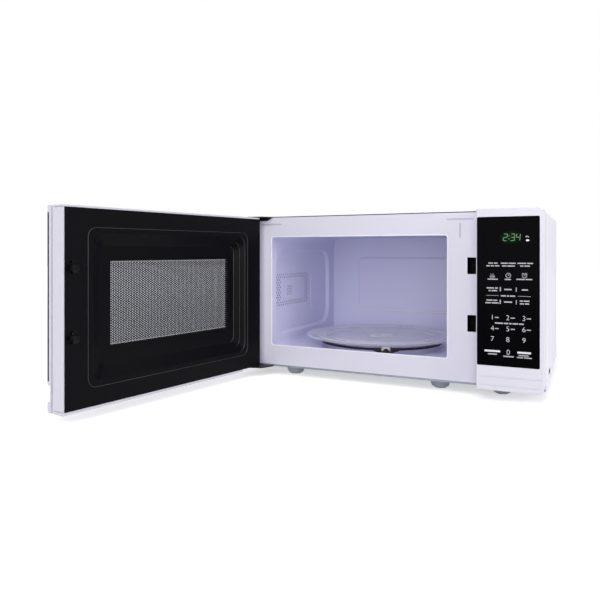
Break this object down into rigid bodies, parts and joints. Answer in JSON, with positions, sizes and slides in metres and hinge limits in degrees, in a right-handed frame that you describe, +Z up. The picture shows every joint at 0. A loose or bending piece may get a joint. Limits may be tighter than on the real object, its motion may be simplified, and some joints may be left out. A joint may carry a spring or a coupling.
{
  "type": "microwave oven",
  "caption": "Countertop microwave oven with a side-hinged door, glass turntable on a roller ring and a flat key panel.",
  "frame": {"origin": "centre of the cabinet's footprint, on the counter under the feet", "axes": "+X to the user's right, +Y from the door to the back, +Z up"},
  "size_m": [0.5172, 0.6736, 0.258],
  "materials": {
    "cabinet_paint": "white powder coat, smooth satin",
    "frame_enamel": "white paint, semi-gloss",
    "cavity_enamel": "pale grey-white paint, semi-gloss",
    "galvanised_sheet": "galvanised sheet, dull",
    "screw_steel": "zinc plated",
    "foot_rubber": "grey moulded rubber, matte",
    "bushing_plastic": "black moulded plastic",
    "panel_plastic": "white moulded plastic, satin",
    "overlay_film": "black printed film",
    "display_glass": "dark display window",
    "board_green": "printed circuit board",
    "door_plastic": "white moulded plastic, satin",
    "door_black_glass": "glass with black back print",
    "door_cover_plastic": "black moulded plastic, soft gloss",
    "screen_paint": "dark enamel on sheet steel",
    "latch_plastic": "black acetal",
    "spring_steel": "spring wire",
    "interlock_plastic": "black nylon",
    "switch_plastic": "black switch body",
    "plunger_plastic": "black switch pin",
    "hinge_black": "blackened steel",
    "turntable_glass": "clear pressed glass",
    "coupler_plastic": "dark brown plastic",
    "ring_plastic": "dark brown plastic",
    "wheel_plastic": "white plastic",
    "mica": "mica sheet",
    "motor_steel": "plated steel case",
    "magnetron_copper": "copper anode with alloy fins",
    "core_steel": "varnished laminations",
    "winding_copper": "enamelled wire",
    "capacitor_can": "drawn can",
    "diode_body": "black moulded body",
    "fan_plastic": "natural plastic",
    "lamp_glass": "clear bulb",
    "holder_plastic": "ivory plastic",
    "cutout_body": "phenolic body"
  },
  "bodies": {
    "cabinet": {"outer_cabinet": "cabinet_paint", "cavity_front_frame": "frame_enamel", "cavity_wrapper": "cavity_enamel", "cavity_left_wall": "cavity_enamel", "cavity_back_wall": "cavity_enamel", "base_plate": "galvanised_sheet", "back_panel": "galvanised_sheet", "waveguide": "galvanised_sheet", "magnetron_filter_box": "galvanised_sheet", "capacitor_clamp": "galvanised_sheet", "cabinet_screws": "screw_steel", "feet": "foot_rubber", "cord_bushing": "bushing_plastic", "control_panel": "panel_plastic", "keypad_overlay": "overlay_film", "display_module": "display_glass", "control_board": "board_green", "filter_board": "board_green", "interlock_bracket": "interlock_plastic", "interlock_switches": "switch_plastic", "upper_hinge": "hinge_black", "lower_hinge": "hinge_black", "waveguide_cover": "mica", "turntable_motor": "motor_steel", "magnetron_yoke": "motor_steel", "fan_motor": "motor_steel", "magnetron_core": "magnetron_copper", "transformer_core": "core_steel", "transformer_windings": "winding_copper", "capacitor": "capacitor_can", "high_voltage_diode": "diode_body", "fan_duct": "fan_plastic", "cavity_lamp": "lamp_glass", "lamp_holder": "holder_plastic", "thermal_cutout": "cutout_body"},
    "door": {"door_surround": "door_plastic", "door_front_glass": "door_black_glass", "door_choke_frame": "screen_paint", "door_screen": "screen_paint", "door_inner_cover": "door_cover_plastic", "latch_spring": "spring_steel"},
    "latch": {"door_latch": "latch_plastic"},
    "coupler": {"drive_coupler": "coupler_plastic"},
    "plate": {"glass_turntable": "turntable_glass"},
    "ring": {"roller_ring": "ring_plastic"},
    "wheel_1": {"roller_wheel_1": "wheel_plastic"},
    "wheel_2": {"roller_wheel_2": "wheel_plastic"},
    "wheel_3": {"roller_wheel_3": "wheel_plastic"},
    "fan": {"fan_blade": "fan_plastic"},
    "plungers": {"interlock_plungers": "plunger_plastic"}
  },
  "joints": [
    {"name": "door_hinge", "type": "hinge", "parent": "cabinet", "child": "door", "pos_m": [-0.2175, -0.167, 0.1338], "axis": [0, 0, 1], "range_deg": [-10.5, 99.5]},
    {"name": "latch_slide", "type": "slide", "parent": "door", "child": "latch", "axis": [0, 0, 1], "range_m": [0, 0.004], "stiffness_N_per_m": 400, "springref_m": -0.005, "deforming": ["latch_spring"]},
    {"name": "turntable_spin", "type": "hinge", "parent": "cabinet", "child": "coupler", "pos_m": [-0.0455, -0.0115, 0.042], "axis": [0, 0, 1], "continuous": true},
    {"name": "plate_lift", "type": "slide", "parent": "coupler", "child": "plate", "axis": [0, 0, 1], "range_m": [0, 0.012]},
    {"name": "ring_spin", "type": "hinge", "parent": "cabinet", "child": "ring", "pos_m": [-0.0455, -0.0115, 0.045], "axis": [0, 0, 1], "continuous": true},
    {"name": "fan_spin", "type": "hinge", "parent": "cabinet", "child": "fan", "pos_m": [0.16275, 0.133, 0.15], "axis": [0, 1, 0], "continuous": true},
    {"name": "plunger_push", "type": "slide", "parent": "cabinet", "child": "plungers", "axis": [0, 1, 0], "range_m": [0, 0.0012], "stiffness_N_per_m": 600, "springref_m": -0.001},
    {"name": "wheel_1_spin", "type": "hinge", "parent": "ring", "child": "wheel_1", "pos_m": [-0.00804, -0.10422, 0.04515], "axis": [0.3746, -0.9272, 0], "continuous": true},
    {"name": "wheel_2_spin", "type": "hinge", "parent": "ring", "child": "wheel_2", "pos_m": [0.01607, 0.0673, 0.04515], "axis": [0.6157, 0.788, 0], "continuous": true},
    {"name": "wheel_3_spin", "type": "hinge", "parent": "ring", "child": "wheel_3", "pos_m": [-0.14453, 0.00242, 0.04515], "axis": [-0.9903, 0.1392, 0], "continuous": true}
  ],
  "couplings": [
    {"joint": "ring_spin", "follows": "turntable_spin", "ratio": 0.5},
    {"joint": "wheel_1_spin", "follows": "turntable_spin", "ratio": -7.1429},
    {"joint": "wheel_2_spin", "follows": "turntable_spin", "ratio": -7.1429},
    {"joint": "wheel_3_spin", "follows": "turntable_spin", "ratio": -7.1429}
  ]
}
